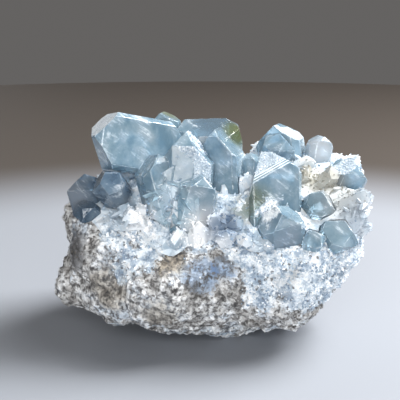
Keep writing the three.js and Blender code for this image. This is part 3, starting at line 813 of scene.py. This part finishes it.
def druse_tree():
    """Geometry nodes: crystals scattered where an attribute lets them, leaning out of line."""
    tree = bpy.data.node_groups.new("druse", "GeometryNodeTree")
    sockets = [("Geometry", "INPUT", "NodeSocketGeometry"), ("Crystal", "INPUT", "NodeSocketObject"),
               ("Finish", "INPUT", "NodeSocketMaterial"), ("Where", "INPUT", "NodeSocketString"),
               ("Per square metre", "INPUT", "NodeSocketFloat"),
               ("Smallest", "INPUT", "NodeSocketFloat"), ("Largest", "INPUT", "NodeSocketFloat"),
               ("Lean", "INPUT", "NodeSocketFloat"), ("Seed", "INPUT", "NodeSocketInt"),
               ("Geometry", "OUTPUT", "NodeSocketGeometry")]
    for name, direction, kind in sockets:
        tree.interface.new_socket(name, in_out=direction, socket_type=kind)
    given = add(tree, "NodeGroupInput").outputs
    growth = add(tree, "GeometryNodeInputNamedAttribute", {"Name": given["Where"]}, data_type="FLOAT")
    density = add(tree, "ShaderNodeMath", {0: growth.outputs[0], 1: given["Per square metre"]},
                  operation="MULTIPLY")
    spots = add(tree, "GeometryNodeDistributePointsOnFaces", {"Mesh": given["Geometry"],
                "Density": density.outputs[0], "Seed": given["Seed"]})
    astray = add(tree, "FunctionNodeRandomValue", {0: (-1.0, -1.0, -1.0), 1: (1.0, 1.0, 1.0),
                 "ID": add(tree, "GeometryNodeInputIndex").outputs[0], "Seed": given["Seed"]},
                 data_type="FLOAT_VECTOR")
    leaning = add(tree, "ShaderNodeVectorMath", {0: astray.outputs[0], "Scale": given["Lean"]},
                  operation="SCALE")
    outward = add(tree, "ShaderNodeVectorMath", {0: spots.outputs["Normal"], 1: leaning.outputs[0]},
                  operation="ADD")
    upright = add(tree, "FunctionNodeAlignRotationToVector", {"Vector": outward.outputs[0]}, axis="Z")
    turn = add(tree, "FunctionNodeRandomValue", {2: 0.0, 3: 2 * math.pi, "Seed": given["Seed"]},
               data_type="FLOAT")
    spin = add(tree, "FunctionNodeAxisAngleToRotation", {"Axis": (0.0, 0.0, 1.0), "Angle": turn.outputs[1]})
    facing = add(tree, "FunctionNodeRotateRotation", {"Rotation": upright.outputs[0],
                 "Rotate By": spin.outputs[0]}, rotation_space="LOCAL")
    chance = add(tree, "FunctionNodeRandomValue", {2: 0.0, 3: 1.0, "Seed": given["Seed"]},
                 data_type="FLOAT")
    mostly_small = add(tree, "ShaderNodeMath", {0: chance.outputs[1], 1: FEW_LARGE}, operation="POWER")
    length = add(tree, "ShaderNodeMapRange", {"Value": mostly_small.outputs[0], "To Min": given["Smallest"],
                 "To Max": given["Largest"]})
    shape = add(tree, "GeometryNodeObjectInfo", {"Object": given["Crystal"]})
    grown = add(tree, "GeometryNodeInstanceOnPoints", {"Points": spots.outputs["Points"],
                "Instance": shape.outputs["Geometry"], "Rotation": facing.outputs[0],
                "Scale": length.outputs["Result"]})
    real = add(tree, "GeometryNodeRealizeInstances", {"Geometry": grown.outputs["Instances"]})
    coated = add(tree, "GeometryNodeSetMaterial", {"Geometry": real.outputs["Geometry"],
                 "Material": given["Finish"]})
    add(tree, "NodeGroupOutput", {"Geometry": coated.outputs["Geometry"]})
    return tree


DRUSE = druse_tree()


def druse(name, base, slot, **inputs):
    """A piece of small crystals that grow on the base piece. An input's name has _ for a space."""
    modifier = base.modifiers.new("druse", "NODES")
    modifier.node_group = DRUSE
    for item in DRUSE.interface.items_tree:
        key = item.name.lower().replace(" ", "_")
        if item.in_out == "INPUT" and key in inputs:
            modifier[item.identifier] = inputs[key]
    bpy.context.view_layer.update()
    mesh = bpy.data.meshes.new_from_object(base.evaluated_get(bpy.context.evaluated_depsgraph_get()))
    base.modifiers.remove(modifier)
    mesh.name = name
    ob = bpy.data.objects.new(name, mesh)
    bpy.context.scene.collection.objects.link(ob)
    finished(ob, slot)


blade = hull_of("blade", prism(0.36, 0.2, 0.45, 0.16))
shard = hull_of("shard", [(0.2, 0.04, 0.0), (-0.22, 0.06, 0.1), (0.08, 0.05, 1.0), (-0.12, -0.05, 0.8),
                          (0.16, -0.06, 0.5), (0.0, -0.05, -0.3)])
grain = hull_of("grain", [(0.42, 0.0, 0.1), (-0.3, 0.36, 0.15), (-0.25, -0.36, 0.05), (0.12, 0.1, 0.75),
                          (-0.14, -0.08, 0.7), (0.0, 0.0, -0.4)])
centre, right = pieces["centre_crystals"], pieces["right_crystals"]
druse("crust_crystals", crust_piece, "celestite", crystal=blade, finish=SMALL, where="growth",
      per_square_metre=0.08 * PER_MM2, smallest=1.4 * MM, largest=4.0 * MM, lean=0.8, seed=3)
druse("crust_sugar", crust_piece, "crystal_crust", crystal=grain, finish=GRAINS, where="growth",
      per_square_metre=2.2 * PER_MM2, smallest=0.45 * MM, largest=1.4 * MM, lean=0.8, seed=4)
druse("rim_sugar", rock_piece, "crystal_crust", crystal=grain, finish=GRAINS, where="growth",
      per_square_metre=1.2 * PER_MM2, smallest=0.45 * MM, largest=1.6 * MM, lean=0.8, seed=5)
druse("frosting_sugar", centre, "crystal_crust", crystal=grain, finish=GRAINS, where="frost",
      per_square_metre=2.5 * PER_MM2, smallest=0.25 * MM, largest=0.8 * MM, lean=0.8, seed=6)
druse("frosting_sugar_right", right, "crystal_crust", crystal=grain, finish=GRAINS, where="frost",
      per_square_metre=2.5 * PER_MM2, smallest=0.25 * MM, largest=0.7 * MM, lean=0.8, seed=7)
druse("shattered_flakes", centre, "celestite", crystal=shard, finish=CLEAR, where="shatter",
      per_square_metre=0.3 * PER_MM2, smallest=1.5 * MM, largest=6.5 * MM, lean=1.4, seed=8)
druse("white_flakes", centre, "crystal_crust", crystal=shard, finish=GRAINS, where="shatter",
      per_square_metre=0.45 * PER_MM2, smallest=0.5 * MM, largest=2.4 * MM, lean=1.8, seed=9)
for helper in (blade, shard, grain):
    bpy.data.objects.remove(helper)


# ---- Stage --------------------------------------------------------------------------------------

FLOOR_RADIUS = 0.8
FLOOR_SIDES = 96
FLOOR_PALE, FLOOR_DARK = 0.18, 0.34  # how far out it is all pale, and from where it is all dark
LAMP_AIM = Vector((0.0, 0.0, 0.04))
VIEW_TARGET = Vector((-5.18, -2.44, 51.2)) * MM
VIEW_DISTANCE = 0.36
VIEW_TILT = math.radians(14)  # how far the camera looks down

turns = [2 * math.pi * i / FLOOR_SIDES for i in range(FLOOR_SIDES)]
rim = [(FLOOR_RADIUS * math.cos(turn), FLOOR_RADIUS * math.sin(turn), 0.0) for turn in turns]
paint, tree, out = new_material("pale_floor_paint")
place = add(tree, "ShaderNodeTexCoord").outputs["Object"]
away = add(tree, "ShaderNodeVectorMath", {0: place}, operation="LENGTH")
fade = add(tree, "ShaderNodeMapRange", {"Value": away.outputs["Value"], "From Min": FLOOR_PALE,
           "From Max": FLOOR_DARK}, interpolation_type="SMOOTHSTEP")
tint = add(tree, "ShaderNodeMix", {SHARE: fade.outputs["Result"], LOWER: linear("#8a8e95"),
           UPPER: linear("#3f3832")}, data_type="RGBA")
matt = add(tree, "ShaderNodeBsdfPrincipled", {"Base Color": tint.outputs[RESULT], "Roughness": 0.7})
tree.links.new(matt.outputs[0], out.inputs["Surface"])
piece_of("floor", rim, [(0, i, i + 1, 0) for i in range(1, FLOOR_SIDES - 1)], paint)

world = bpy.data.worlds.new("studio")
world.use_nodes = True
background = world.node_tree.nodes["Background"].inputs
background["Color"].default_value = linear("#a8a5a3")
background["Strength"].default_value = 0.33
bpy.context.scene.world = world


def softbox(name, at, size, power):
    """A square area light that faces the specimen."""
    lamp = bpy.data.lights.new(name, "AREA")
    lamp.size = size
    lamp.energy = power
    ob = bpy.data.objects.new(name, lamp)
    bpy.context.scene.collection.objects.link(ob)
    ob.location = at
    ob.rotation_euler = (LAMP_AIM - ob.location).to_track_quat("-Z", "Y").to_euler()


softbox("key", (0.60, 0.22, 0.70), 0.5, 21.5)
softbox("top", (0.40, 0.0, 0.85), 0.4, 4.0)
softbox("fill", (-0.05, -1.1, 0.36), 0.9, 15.0)
softbox("rim", (-0.50, 1.05, 0.38), 0.5, 0.8)

camera = bpy.data.cameras.new("camera")
camera.sensor_width = 36.0
camera.lens = 85.05
view = bpy.data.objects.new("camera", camera)
bpy.context.scene.collection.objects.link(view)
view.location = VIEW_TARGET + VIEW_DISTANCE * Vector((0.0, -math.cos(VIEW_TILT), math.sin(VIEW_TILT)))
view.rotation_euler = (math.pi / 2 - VIEW_TILT, 0.0, 0.0)
bpy.context.scene.camera = view
bpy.context.scene.view_settings.view_transform = "Standard"
